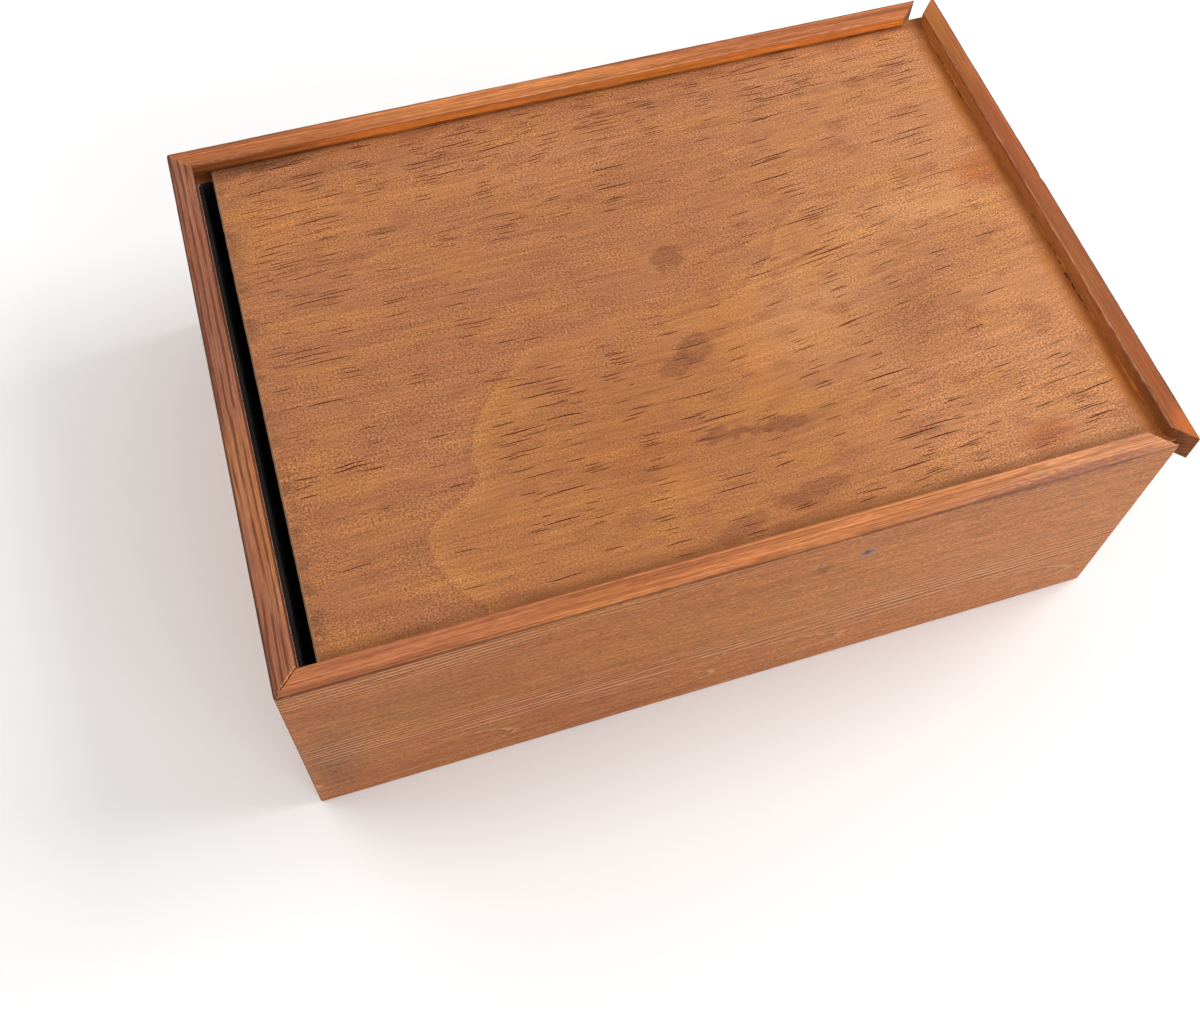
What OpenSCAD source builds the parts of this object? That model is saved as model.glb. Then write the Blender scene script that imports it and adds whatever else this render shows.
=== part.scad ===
// Wooden jewelry box with a sliding lid, lined in black velvet.
// +X is the way the lid slides open, +Z is up, and the origin is the centre of the underside.
// The lid stands a little open, as it was photographed.

/* [Box] */
// Length of the box, along the way the lid slides
box_length = 280; // [200:1:400]
// Width of the box, across the lid
box_width = 200; // [140:1:300]
// Height of the box, to the top of the long walls
box_height = 100; // [60:1:160]
// Thickness of the walls and of the pull rail
wall_t = 7.5; // [6:0.5:12]
// Radius of the upright outer corners
corner_r = 1.5; // [0.5:0.1:4]
// Radius of the long outer edges
outer_edge_r = 0.8; // [0.2:0.1:2]
// Radius of the inner edges round the top
inner_edge_r = 0.5; // [0.2:0.1:1]

/* [Lid] */
// Thickness of the lid panel
lid_t = 4; // [3:0.5:6]
// Height of the wall's edge above the lid's groove
groove_land = 5; // [3:0.5:10]
// Depth of the lid's groove in the wall
groove_depth = 3.5; // [2:0.25:4.5]
// Clearance above and below the lid panel in its groove
lid_play = 0.3; // [0.2:0.05:0.6]
// Clearance between the lid panel's sides and the bottom of the grooves
lid_side_play = 0.6; // [0.3:0.05:1.2]
// How far the lid's leading edge enters the left wall when shut
lid_tongue = 2; // [1:0.1:2.5]
// Bevel on the top of the lid's leading edge
lid_bevel = 0.6; // [0.2:0.1:1]
// How far the lid stands open, as photographed
lid_open = 7.5; // [1:0.5:100]

/* [Pull rail] */
// Height of the pull rail
rail_h = 12; // [11:0.5:20]
// Gap left by the saw between the pull rail and the end wall under it
saw_gap = 1.2; // [0.6:0.1:3]

/* [Base] */
// Thickness of the base panel
base_t = 4; // [3:0.5:8]
// Width of the rebate in the walls that takes the base panel
rebate_w = 3.5; // [2:0.25:5]

/* [Lining] */
// Thickness of the card behind the velvet on the walls
card_t = 1; // [0.6:0.1:2]
// Thickness of the card under the velvet on the floor
floor_card_t = 1.5; // [0.6:0.1:3]
// Thickness of the velvet
velvet_t = 0.6; // [0.4:0.1:1.5]

/* [Hidden] */
$fn = 48;

// Stained pine, plywood and lining as they look in the photograph
pine = [0.70, 0.45, 0.29];
red_pine = [0.67, 0.38, 0.24];
plywood = [0.73, 0.51, 0.33];
card = [0.80, 0.68, 0.60];
velvet = [0.10, 0.09, 0.09];

// How far cutters reach past what they cut
cut = 1;

// Heights of the lid and its groove
groove_h = lid_t + 2 * lid_play;
groove_top_z = box_height - groove_land;
groove_floor_z = groove_top_z - groove_h;
lid_bottom_z = groove_floor_z + lid_play;
lid_top_z = lid_bottom_z + lid_t;

// Heights of the pull rail, which is as far above the lid as the wall's edge is above the groove
rail_top_z = lid_top_z + groove_land;
rail_bottom_z = rail_top_z - rail_h;
right_wall_h = rail_bottom_z - saw_gap;

// Inner faces of the walls
inner_x = box_length / 2 - wall_t;
inner_y = box_width / 2 - wall_t;

// Ends and width of the lid panel, where it stands
lid_left_x = -inner_x - lid_tongue + lid_open;
lid_right_x = inner_x + groove_depth + lid_open;
lid_width = 2 * (inner_y + groove_depth - lid_side_play);

// Faces of the wall lining
card_y = inner_y - card_t;
card_x = inner_x - card_t;
lined_x = card_x - velvet_t;
lined_y = card_y - velvet_t;

// What is left of a square corner outside an arc of radius r, at the corner's own point
module corner_waste(r) {
    difference() {
        translate([-cut, -cut]) square(r + cut);
        translate([r, r]) circle(r);
    }
}

// Outline of the whole box from above, with its rounded corners
module box_plan() {
    difference() {
        square([box_length, box_width], center = true);
        for (sx = [0, 1], sy = [0, 1])
            mirror([sx, 0]) mirror([0, sy])
                translate([-box_length / 2, -box_width / 2]) corner_waste(corner_r);
    }
}

// Section of a board of a given height: x runs from the outer face to the inner face
module board_section(height, low_edge_r) {
    difference() {
        square([wall_t, height]);
        corner_waste(low_edge_r);
        translate([0, height]) mirror([0, 1]) corner_waste(outer_edge_r);
        translate([wall_t, height]) mirror([1, 0]) mirror([0, 1]) corner_waste(inner_edge_r);
    }
}

// Section of a full-height wall with the lid's groove and the base's rebate
module grooved_section() {
    difference() {
        board_section(box_height, outer_edge_r);
        translate([wall_t - groove_depth, groove_floor_z]) square([groove_depth + cut, groove_h]);
        rebate_section();
    }
}

// Section of the low end wall, which has the rebate alone
module low_section() {
    difference() {
        board_section(right_wall_h, outer_edge_r);
        rebate_section();
    }
}

// The base panel's rebate, cut out of a wall's section
module rebate_section() {
    translate([wall_t - rebate_w, -cut]) square([rebate_w + cut, base_t + cut]);
}

// A board along the side at -Y of a frame of the given size, with both ends mitred
module mitred_board(frame_length, frame_width, height) {
    intersection() {
        translate([-frame_length / 2, -frame_width / 2, 0])
            rotate([90, 0, 90]) linear_extrude(frame_length) children();
        linear_extrude(height) polygon([
            [-frame_length / 2, -frame_width / 2],
            [frame_length / 2, -frame_width / 2],
            [frame_length / 2 - wall_t, -frame_width / 2 + wall_t],
            [-frame_length / 2 + wall_t, -frame_width / 2 + wall_t]
        ]);
    }
}

// A board along the side at -Y of the box, with its outer corners rounded
module long_board() {
    intersection() {
        mitred_board(box_length, box_width, box_height) grooved_section();
        linear_extrude(box_height) box_plan();
    }
}

// A board along the side at -X of the box, with its outer corners rounded
module end_board(height) {
    intersection() {
        rotate(-90) mitred_board(box_width, box_length, height) children();
        linear_extrude(height) box_plan();
    }
}

// Walls
module front_wall() {
    color(pine) long_board();
}

module rear_wall() {
    color(pine) mirror([0, 1, 0]) long_board();
}

module left_end_wall() {
    color(pine) end_board(box_height) grooved_section();
}

module right_end_wall() {
    color(pine) mirror([1, 0, 0]) end_board(right_wall_h) low_section();
}

// Base panel, flush with the underside in the walls' rebate
module base_panel() {
    color(plywood)
        translate([-inner_x - rebate_w, -inner_y - rebate_w, 0])
            cube([2 * (inner_x + rebate_w), 2 * (inner_y + rebate_w), base_t]);
}

// Lid panel, with a bevel along the top of its leading edge
module lid_panel() {
    color(plywood)
        translate([0, lid_width / 2, 0]) rotate([90, 0, 0]) linear_extrude(lid_width) polygon([
            [lid_left_x, lid_bottom_z],
            [lid_right_x, lid_bottom_z],
            [lid_right_x, lid_top_z],
            [lid_left_x + lid_bevel, lid_top_z],
            [lid_left_x, lid_top_z - lid_bevel]
        ]);
}

// Section of the pull rail, with the groove that the lid panel is glued into
module rail_section() {
    difference() {
        board_section(rail_h, inner_edge_r);
        translate([wall_t - groove_depth, lid_bottom_z - rail_bottom_z]) square([groove_depth + cut, lid_t]);
    }
}

// Pull rail, the sawn-off top of the right end wall, at the open lid's end
module lid_pull_rail() {
    color(red_pine)
        translate([lid_open, 0, rail_bottom_z]) mirror([1, 0, 0]) end_board(rail_h) rail_section();
}

// A sheet of lining on a long wall: face_y is its back, towards the wall
module long_lining(half_length, face_y, thickness) {
    translate([-half_length, -face_y, base_t])
        cube([2 * half_length, thickness, groove_floor_z - base_t]);
}

// A sheet of lining on an end wall: face_x is its back, towards the wall
module end_lining(half_width, face_x, thickness, top_z) {
    translate([-face_x, -half_width, base_t])
        cube([thickness, 2 * half_width, top_z - base_t]);
}

// Cards behind the velvet: the long ones run from end wall to end wall
module front_liner_card() {
    color(card) long_lining(inner_x, inner_y, card_t);
}

module rear_liner_card() {
    color(card) mirror([0, 1, 0]) long_lining(inner_x, inner_y, card_t);
}

module left_liner_card() {
    color(card) end_lining(card_y, inner_x, card_t, groove_floor_z);
}

module right_liner_card() {
    color(card) mirror([1, 0, 0]) end_lining(card_y, inner_x, card_t, right_wall_h);
}

module floor_liner_card() {
    color(card)
        translate([-lined_x, -lined_y, base_t]) cube([2 * lined_x, 2 * lined_y, floor_card_t]);
}

// Velvet on the cards
module front_velvet() {
    color(velvet) long_lining(card_x, card_y, velvet_t);
}

module rear_velvet() {
    color(velvet) mirror([0, 1, 0]) long_lining(card_x, card_y, velvet_t);
}

module left_velvet() {
    color(velvet) end_lining(lined_y, card_x, velvet_t, groove_floor_z);
}

module right_velvet() {
    color(velvet) mirror([1, 0, 0]) end_lining(lined_y, card_x, velvet_t, right_wall_h);
}

module floor_velvet() {
    color(velvet)
        translate([-lined_x, -lined_y, base_t + floor_card_t]) cube([2 * lined_x, 2 * lined_y, velvet_t]);
}

front_wall();
rear_wall();
left_end_wall();
right_end_wall();
base_panel();
lid_panel();
lid_pull_rail();
front_liner_card();
rear_liner_card();
left_liner_card();
right_liner_card();
floor_liner_card();
front_velvet();
rear_velvet();
left_velvet();
right_velvet();
floor_velvet();
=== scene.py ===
import math

import bmesh
import bpy
import numpy as np
from mathutils import Matrix, Vector


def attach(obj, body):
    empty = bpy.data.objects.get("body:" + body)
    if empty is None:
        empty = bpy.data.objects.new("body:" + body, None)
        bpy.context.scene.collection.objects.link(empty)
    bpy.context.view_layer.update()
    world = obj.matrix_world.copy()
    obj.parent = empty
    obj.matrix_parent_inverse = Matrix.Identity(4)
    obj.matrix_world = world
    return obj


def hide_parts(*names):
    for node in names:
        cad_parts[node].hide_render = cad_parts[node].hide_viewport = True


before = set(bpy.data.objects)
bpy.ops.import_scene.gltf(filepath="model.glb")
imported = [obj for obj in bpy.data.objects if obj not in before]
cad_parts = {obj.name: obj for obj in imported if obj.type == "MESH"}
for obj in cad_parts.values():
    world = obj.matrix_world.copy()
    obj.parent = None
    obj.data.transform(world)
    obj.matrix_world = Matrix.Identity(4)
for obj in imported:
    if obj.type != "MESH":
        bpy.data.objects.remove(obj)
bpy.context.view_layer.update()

MM = 0.001

# Sizes that the CAD source gives, in millimetres
LENGTH, WIDTH, HEIGHT = 280.0, 200.0, 100.0
WALL = 7.5
CORNER_R = 1.5
OUTER_R = 0.8
INNER_R = 0.5
GROOVE_TOP, GROOVE_FLOOR, GROOVE_DEPTH = 95.0, 90.4, 3.5
LID_LEFT, LID_RIGHT, LID_HALF = -127.0, 143.5, 95.4
LID_BOTTOM, LID_TOP = 90.7, 94.7
LID_BEVEL = 0.6
LID_OPEN = 7.5
RAIL_BOTTOM, RAIL_TOP = 87.7, 99.7
LOW_WALL_TOP = 86.5
BASE_T, REBATE = 4.0, 3.5
CARD_T, FLOOR_CARD_T, VELVET_T = 1.0, 1.5, 0.6
HALF_X, HALF_Y = LENGTH / 2, WIDTH / 2
INNER_X, INNER_Y = HALF_X - WALL, HALF_Y - WALL
GROOVE_BACK = WALL - GROOVE_DEPTH


# Repeatable noise

def lattice(cells, seed):
    """A fixed number from 0 to 1 for each whole-number cell."""
    x, y, z = (cells[..., i].astype(np.uint32) for i in range(3))
    n = x * np.uint32(374761393) + y * np.uint32(668265263) + z * np.uint32(2246822519)
    n = n + np.uint32(seed * 3266489917 % 4294967296)
    n = (n ^ (n >> np.uint32(15))) * np.uint32(2654435761)
    n = (n ^ (n >> np.uint32(13))) * np.uint32(1274126177)
    return (n ^ (n >> np.uint32(16))).astype(float) / 4294967295.0


def noise(x, y=0.0, z=0.0, seed=0):
    """Smooth noise from -1 to 1, with one lump to each unit of length."""
    x, y, z = np.broadcast_arrays(x, y, z)
    points = np.stack([x, y, z], -1).astype(float)
    cells = np.floor(points)
    part = points - cells
    part = part * part * (3 - 2 * part)
    cells = cells.astype(np.int64)
    total = np.zeros(x.shape)
    for corner in np.ndindex(2, 2, 2):
        share = np.prod(np.where(corner, part, 1 - part), axis=-1)
        total += share * lattice(cells + np.array(corner), seed)
    return 2 * total - 1


def ramp(value, low, high):
    """0 at low, 1 at high, smooth between."""
    t = np.clip((value - low) / (high - low), 0, 1)
    return t * t * (3 - 2 * t)


def lump(*pairs):
    """A soft round lump: each pair is a distance and the reach in that direction."""
    return np.exp(-sum((distance / reach) ** 2 for distance, reach in pairs))


# Meshes

def put(name, data):
    """An object in the scene, from its data."""
    piece = bpy.data.objects.new(name, data)
    bpy.context.scene.collection.objects.link(piece)
    return piece


def make_object(name, points, faces, materials, fields=None, sharp=35.0):
    """A smooth-shaded object. points is its x, y and z in millimetres, fields are named numbers
    on its points."""
    mesh = bpy.data.meshes.new(name)
    mesh.from_pydata((np.stack(points, -1).reshape(-1, 3) * MM).tolist(), [], faces)
    work = bmesh.new()
    work.from_mesh(mesh)
    bmesh.ops.recalc_face_normals(work, faces=work.faces)
    work.to_mesh(mesh)
    work.free()
    for field, values in (fields or {}).items():
        attribute = mesh.attributes.new(field, "FLOAT", "POINT")
        attribute.data.foreach_set("value", np.asarray(values, np.float32).ravel())
    mesh.polygons.foreach_set("use_smooth", [True] * len(mesh.polygons))
    mesh.set_sharp_from_angle(angle=math.radians(sharp))
    for material in materials:
        mesh.materials.append(material)
    return put(name, mesh)


def second_material(piece, wanted):
    """Gives the second material to the faces that wanted says yes to."""
    for polygon in piece.data.polygons:
        if wanted(polygon):
            polygon.material_index = 1


def dress(piece, body, node=None):
    """Says what a piece rides on and which CAD node it replaces."""
    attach(piece, body)
    if node:
        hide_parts(node)


def swept_faces(stations, points):
    """Faces of a closed section carried through the stations, with a face over each end."""
    index = np.arange(stations * points).reshape(stations, points)
    near, far = index[:-1], index[1:]
    quads = np.stack([near, np.roll(near, -1, 1), np.roll(far, -1, 1), far], -1)
    return quads.reshape(-1, 4).tolist() + [index[0][::-1].tolist(), index[-1].tolist()]


def legs(start, *ends):
    """Points from start through all ends, the last left out. An end is its place and the step."""
    path = []
    start = np.array(start, float)
    for across, up, step in ends:
        end = np.array((across, up), float)
        count = max(1, round(float(np.linalg.norm(end - start)) / step))
        path += [start + (end - start) * i / count for i in range(count)]
        start = end
    return path


def rounded(centre, radius, first, last, count=5):
    """Points on an arc from one angle in degrees towards another, which is left out."""
    angles = np.radians(np.linspace(first, last, count + 1)[:-1])
    return [np.array(centre) + radius * np.array([math.cos(a), math.sin(a)]) for a in angles]


def outer_and_top(bottom, top, fine):
    """Section from the outer face's foot over the top edge to the inner face."""
    path = legs((0, bottom), (0, top - OUTER_R, fine))
    path += rounded((OUTER_R, top - OUTER_R), OUTER_R, 180, 90)
    path += legs((OUTER_R, top), (WALL - INNER_R, top, 0.4))
    return path + rounded((WALL - INNER_R, top - INNER_R), INNER_R, 90, 0)


def foot(path):
    """Ends a wall's section: down to the base panel's rebate and round to the outer face."""
    edge, back = 0.3, WALL - REBATE
    path += legs((WALL, BASE_T), (back, BASE_T, 1.2), (back, edge, 1.2), (back - edge, 0, 1),
                 (OUTER_R, 0, 0.8))
    return np.array(path + rounded((OUTER_R, OUTER_R), OUTER_R, 270, 180))


def grooved_section(fine):
    """Full-height wall with the lid's groove."""
    path = outer_and_top(OUTER_R, HEIGHT, fine)
    path += legs((WALL, HEIGHT - INNER_R), (WALL, GROOVE_TOP, 0.7), (GROOVE_BACK, GROOVE_TOP, 0.9),
                 (GROOVE_BACK, GROOVE_FLOOR, 0.9), (WALL, GROOVE_FLOOR, 0.9), (WALL, BASE_T, 5))
    return foot(path)


def low_section(fine):
    """Low end wall under the pull rail."""
    path = outer_and_top(OUTER_R, LOW_WALL_TOP, fine)
    return foot(path + legs((WALL, LOW_WALL_TOP - INNER_R), (WALL, BASE_T, 4)))


def rail_section(fine):
    """Pull rail with the groove that the lid panel is glued into."""
    path = outer_and_top(RAIL_BOTTOM + INNER_R, RAIL_TOP, fine)
    path += legs((WALL, RAIL_TOP - INNER_R), (WALL, LID_TOP, 0.5), (GROOVE_BACK, LID_TOP, 0.9),
                 (GROOVE_BACK, LID_BOTTOM, 0.9), (WALL, LID_BOTTOM, 0.9),
                 (WALL, RAIL_BOTTOM, 0.8), (INNER_R, RAIL_BOTTOM, 0.8))
    return np.array(path + rounded((INNER_R, RAIL_BOTTOM + INNER_R), INNER_R, 270, 180))


def end_stations(length, step):
    """Stations from -1 to 1 along a board, closer together towards both ends."""
    near_end = [0, 0.12, 0.25, 0.4, 0.6, 0.85, 1.2, 1.6, 2.2, 3, 4, 5.2]
    middle = np.arange(near_end[-1] + step, length / 2, step)
    half = 1 - np.concatenate([near_end, middle]) / (length / 2)
    return np.concatenate([-half, [0.0], half[::-1]])


class Board:
    """A mitred board in its own terms: s along it, u in from its outer face, z up."""

    def __init__(self, length, section, step, seed):
        stations = end_stations(length, step)[:, None]
        depth, z = section.T
        self.half = length / 2
        self.seed = seed
        corner_cut = CORNER_R * (1 - math.sqrt(0.5))
        self.s = stations * (self.half - np.maximum(depth, corner_cut))
        gone = np.clip(CORNER_R - (self.half - np.abs(self.s)), 0, CORNER_R)
        self.u = np.maximum(depth, CORNER_R - np.sqrt(CORNER_R ** 2 - gone ** 2))
        self.z = np.broadcast_to(z, self.s.shape).copy()
        self.section_u = np.broadcast_to(depth, self.s.shape)
        self.wear_and_highlight, self.arch, self.vees = np.zeros((3,) + self.s.shape)
        self.shaded_rim_reach = 0.6

    def from_mitre(self):
        """How far each point is from its mitre, along the board."""
        rounded_corner = 0.44
        return self.half - np.maximum(self.section_u, rounded_corner) - np.abs(self.s)

    def at_mitre(self, end, far, near):
        """1 nearer to one mitre than near, 0 beyond far. end is -1 or 1."""
        return ramp(self.from_mitre(), far, near) * (np.sign(self.s) == end)

    def wear(self, corner, inward, reach, depth, share=0.3):
        """Rubs an edge unevenly. corner and inward are (u, z) pairs."""
        near = np.clip(1 - np.hypot(self.u - corner[0], self.z - corner[1]) / reach, 0, 1)
        rub = share + 0.6 * noise(self.s / 17, seed=self.seed + 1)
        rub = np.clip(rub + 0.35 * noise(self.s / 3.1, seed=self.seed + 2), 0, 1.2)
        self.u += inward[0] * near * rub * depth
        self.z += inward[1] * near * rub * depth
        self.wear_and_highlight = np.maximum(self.wear_and_highlight, near * np.clip(rub, 0, 1))

    def open_mitre(self, end, width, seed):
        """Draws this board back from one mitre, more towards the inside, with a ragged edge."""
        ragged = 0.75 + 0.6 * noise(self.section_u / 0.8, self.z / 4, seed=seed)
        back = width * ramp(self.section_u, 0.3, WALL) * ragged
        self.s -= end * self.at_mitre(end, 1.6, 0.0) * back

    def paint_mitre_highlight(self, end, reach, share, seed):
        """Paints a pale highlight along the edge of one mitre, here and there, into the same field as
        the wear.
        """
        rub = np.clip(share + noise(self.section_u / 1.3, seed=seed), 0, 1)
        self.wear_and_highlight = np.maximum(self.wear_and_highlight, self.at_mitre(end, reach, 0.1) * rub)

    def chip(self, s, corner, size, along, depth, inward):
        """Breaks a small piece out of an edge. inward is (s, u, z)."""
        bite = lump((self.s - s, along), (self.u - corner[0], size), (self.z - corner[1], size))
        bite *= 0.75 + 0.5 * noise(self.s / 0.5, self.u / 0.5, self.z / 0.5, seed=self.seed + 5)
        self.s += inward[0] * bite * depth
        self.u += inward[1] * bite * depth
        self.z += inward[2] * bite * depth
        self.wear_and_highlight = np.clip(self.wear_and_highlight + 1.4 * bite, 0, 1)

    def roughen(self, mask, depth):
        """Pits the top edge of a full-height wall where mask is above 0."""
        on_top = ramp(self.section_u, 0.2, 0.8) * ramp(self.section_u, WALL, WALL - 0.6)
        on_top *= ramp(self.z, HEIGHT - 1, HEIGHT - 0.3)
        pits = 0.5 + 0.5 * noise(self.s / 1.6, self.u / 0.5, seed=self.seed + 6)
        self.z -= on_top * mask * pits * depth

    def wave(self, small=0.3):
        """How far the grain strays from straight."""
        wave = 1.1 * noise(self.s / 60, self.z / 20, self.u / 20, seed=self.seed + 7)
        return wave + small * noise(self.s / 14, self.z / 6, self.u / 6, seed=self.seed + 8)

    def rings_from_pith(self, pith_u, pith_z, pitch):
        """Counts growth rings round a pith behind the board's outer face."""
        self.rings = (np.hypot(self.z - pith_z, pith_u + self.u) + self.wave()) / pitch + 100

    def rings_up_the_face(self, heights, counts):
        """Counts growth rings that rise up the outer face, with the count given at some heights."""
        self.rings = np.interp(self.z + 0.5 * self.u + self.wave(0.2), heights, counts) + 100

    def nested_arches(self, tips, axis_z, top_z):
        """Counts the wide rings whose arches end in tips, one at each place along the board."""
        off = self.z - axis_z - 1.5 * noise(self.s / 45, seed=self.seed + 9)
        back = np.where(off > 0, 0.36, 0.85) * np.abs(off) ** 1.75
        stray = 5 * noise(self.s / 30, self.z / 9, seed=self.seed + 10)
        self.vees = np.interp(self.s + back + stray, tips, np.arange(len(tips))) + 0.5
        self.arch = ramp(self.z, top_z, top_z - 14) * ramp(self.section_u, 0.5, 0.0)

    def raise_grain(self, raised):
        """Wears the outer face into low waves, and says where its grain lines stand proud."""
        height = 0.05
        outer = ramp(self.section_u, 0.5, 0.0) * ramp(self.from_mitre(), 0.0, 1.5)
        self.raised = raised * ramp(self.section_u, 0.6, 0.0)
        low_wave = 0.5 + 0.5 * noise(self.s / 26, self.z / 3.4, seed=self.seed + 11)
        self.u += outer * height * low_wave

    def fields(self, top):
        """Named numbers for the material to read."""
        on_top = ramp(self.z, top - 0.9, top - 0.2) * ramp(self.section_u, -0.1, 0.5)
        lip = ramp(self.section_u, WALL - 0.6, WALL - 0.1) * ramp(self.z, top - 0.2, top - 0.9)
        # rim is where the painted shade on the rounded outer arris goes
        rim = lump((self.section_u - 0.3, self.shaded_rim_reach), (self.z - top + 0.25, self.shaded_rim_reach))
        return {"rings": self.rings, "vees": self.vees, "raised": self.raised, "arch": self.arch,
                "top": on_top, "lip": lip, "rim": rim, "wear_and_highlight": self.wear_and_highlight}


# Materials

def colour(red, green, blue):
    """A colour as seen, each part from 0 to 255, as the shader wants it."""
    parts = [c / 255 for c in (red, green, blue)]
    return tuple(c / 12.92 if c <= 0.04045 else ((c + 0.055) / 1.055) ** 2.4 for c in parts) + (1.0,)


class Tree:
    """One material's nodes, made with short calls. Lengths in its patterns are millimetres. base
    is its colour so far, which start, paint, deepen, shade and tint carry on."""

    def __init__(self, name):
        self.material = bpy.data.materials.new(name)
        self.material.use_nodes = True
        self.nodes = self.material.node_tree.nodes
        self.links = self.material.node_tree.links
        self.shader = self.nodes["Principled BSDF"]
        self.shine = 0.12
        self.point = self.vector("MULTIPLY", self.node("TexCoord", {}, "Object"), (1000.0,) * 3)
        self.x, self.y, self.z = self.parts(self.point)

    def join(self, value, socket):
        """Links or sets a socket."""
        if isinstance(value, bpy.types.NodeSocket):
            self.links.new(value, socket)
        else:
            socket.default_value = value

    def node(self, kind, inputs, output=0, **settings):
        """One output of a new node. inputs says what its sockets get, by place or by name."""
        node = self.nodes.new("ShaderNode" + kind)
        for name, setting in settings.items():
            setattr(node, name, setting)
        for socket, value in inputs.items():
            self.join(value, node.inputs[socket])
        return node.outputs[output]

    def math(self, operation, *values):
        return self.node("Math", dict(enumerate(values)), operation=operation)

    def add(self, first, second):
        return self.math("ADD", first, second)

    def minus(self, first, second):
        return self.math("SUBTRACT", first, second)

    def most(self, first, second):
        return self.math("MAXIMUM", first, second)

    def away(self, value, middle):
        """How far a number is from a middle value."""
        return self.math("ABSOLUTE", self.minus(value, middle))

    def times(self, *values):
        """The product of one or more numbers."""
        total = values[0]
        for value in values[1:]:
            total = self.math("MULTIPLY", total, value)
        return total

    def vector(self, operation, *values):
        output = "Value" if operation == "LENGTH" else "Vector"
        return self.node("VectorMath", dict(enumerate(values)), output, operation=operation)

    def parts(self, vector):
        return self.node("SeparateXYZ", {0: vector}).node.outputs[:]

    def together(self, x, y, z):
        return self.node("CombineXYZ", {0: x, 1: y, 2: z})

    def field(self, name):
        """A named number that make_object put on the points."""
        return self.node("Attribute", {}, "Fac", attribute_name=name)

    def cells(self, size, point=None):
        """The point in units of a pattern that is size millimetres long in each direction."""
        return self.vector("DIVIDE", point or self.point, size)

    def noise(self, size, detail=3.0, point=None, rough=0.55, bend=0.0):
        inputs = {"Vector": self.cells(size, point), "Scale": 1.0, "Detail": detail,
                  "Roughness": rough, "Distortion": bend}
        return self.node("TexNoise", inputs)

    def between(self, value, low, high):
        """0 at low and 1 at high, smooth between."""
        return self.node("MapRange", {0: value, 1: low, 2: high}, interpolation_type="SMOOTHSTEP")

    def spread(self, value, low, high):
        """Noise from about 0.3 to 0.7 turned into a number from low to high."""
        return self.node("MapRange", {0: value, 1: 0.3, 2: 0.7, 3: low, 4: high})

    def uneven(self, low, high, *pattern):
        """A number that wanders from low to high. The pattern goes to noise."""
        return self.spread(self.noise(*pattern), low, high)

    def patches(self, low, high, *pattern, **more):
        """0 where noise is under low and 1 where it is over high."""
        return self.between(self.noise(*pattern, **more), low, high)

    def wavy(self, value, reach, *pattern):
        """A number that strays from its value by up to reach."""
        return self.add(value, self.uneven(-reach, reach, *pattern))

    def bent(self, reach, *pattern):
        """The point, moved by up to reach."""
        return self.vector("ADD", self.point, self.uneven(-reach, reach, *pattern))

    def mix(self, share, first, second):
        """From the first colour to the second. The node's colour sockets are found by place."""
        first_colour, second_colour, mixed_colour = 6, 7, 2
        inputs = {"Factor": share, first_colour: first, second_colour: second}
        return self.node("Mix", inputs, mixed_colour, data_type="RGBA")

    def scaled(self, amount):
        """The base made lighter or darker by a number round 1."""
        return self.node("VectorMath", {0: self.base, "Scale": amount}, operation="SCALE")

    def start(self, share, first, second):
        """A base of two tones."""
        self.base = self.mix(share, colour(*first), colour(*second))

    def paint(self, tone, *shares):
        """Lays a tone over the base, as strong as the product of the shares."""
        self.base = self.mix(self.times(*shares), self.base, colour(*tone))

    def deepen(self, amount, *shares):
        """Makes the base lighter or darker, as far as the product of the shares."""
        self.base = self.mix(self.times(*shares), self.base, self.scaled(amount))

    def shade(self, grain, low, high):
        """Makes the base lighter and darker with the grain, between low and high."""
        self.base = self.scaled(self.spread(grain, low, high))

    def tint(self, places, point=None):
        """Soft patches of other tones. Each place is a centre, a reach, a tone and a share."""
        for centre, size, tone, share in places:
            self.paint(tone, self.spot(centre, size, 0.8, point), share)

    def spot(self, centre, size, edge, point=None, turn=0.0):
        """1 inside an ellipse, with an edge as soft as edge says. turn is in degrees, about Z."""
        off = self.vector("SUBTRACT", point or self.point, centre)
        if turn:
            inputs = {"Vector": off, "Angle": math.radians(-turn)}
            off = self.node("VectorRotate", inputs, rotation_type="Z_AXIS")
        distance = self.vector("LENGTH", self.vector("DIVIDE", off, size))
        return self.between(distance, 1 + edge, 1 - edge)

    def line(self, count, width):
        """1 along the middle of each ring that count numbers, 0 further than width rings away."""
        return self.between(self.away(self.math("FRACT", count), 0.5), width, width * 0.4)

    def dashes(self, point, size, least, most, share, seed, flat=False):
        """Tapered strokes, one to a stretched cell: least and most are their reach in the cell."""
        moved = self.vector("ADD", self.cells(size, point), (seed, seed * 1.7, seed * 0.3))
        distance = self.node("TexVoronoi", {"Vector": moved, "Scale": 1.0}, "Distance",
                             voronoi_dimensions="2D" if flat else "3D")
        chance = self.parts(distance.node.outputs["Color"])
        radius = self.math("MULTIPLY_ADD", chance[1], most - least, least)
        stroke = self.between(distance, radius, self.times(radius, 0.55))
        return self.times(stroke, self.math("LESS_THAN", chance[0], share))

    def finish(self, roughness, relief, depth, strength):
        """Joins the shader and gives the material. depth is how deep the relief is."""
        inputs = {"Height": relief, "Distance": depth * MM, "Strength": strength}
        self.join(self.base, self.shader.inputs["Base Color"])
        self.join(roughness, self.shader.inputs["Roughness"])
        self.join(self.node("Bump", inputs), self.shader.inputs["Normal"])
        self.shader.inputs["Specular IOR Level"].default_value = self.shine
        return self.material


def along_x(long, across):
    """Size of a pattern stretched along X."""
    return (long, across, across)


def along_y(long, across):
    """Size of a pattern stretched along Y."""
    return (across, long, across)


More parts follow.
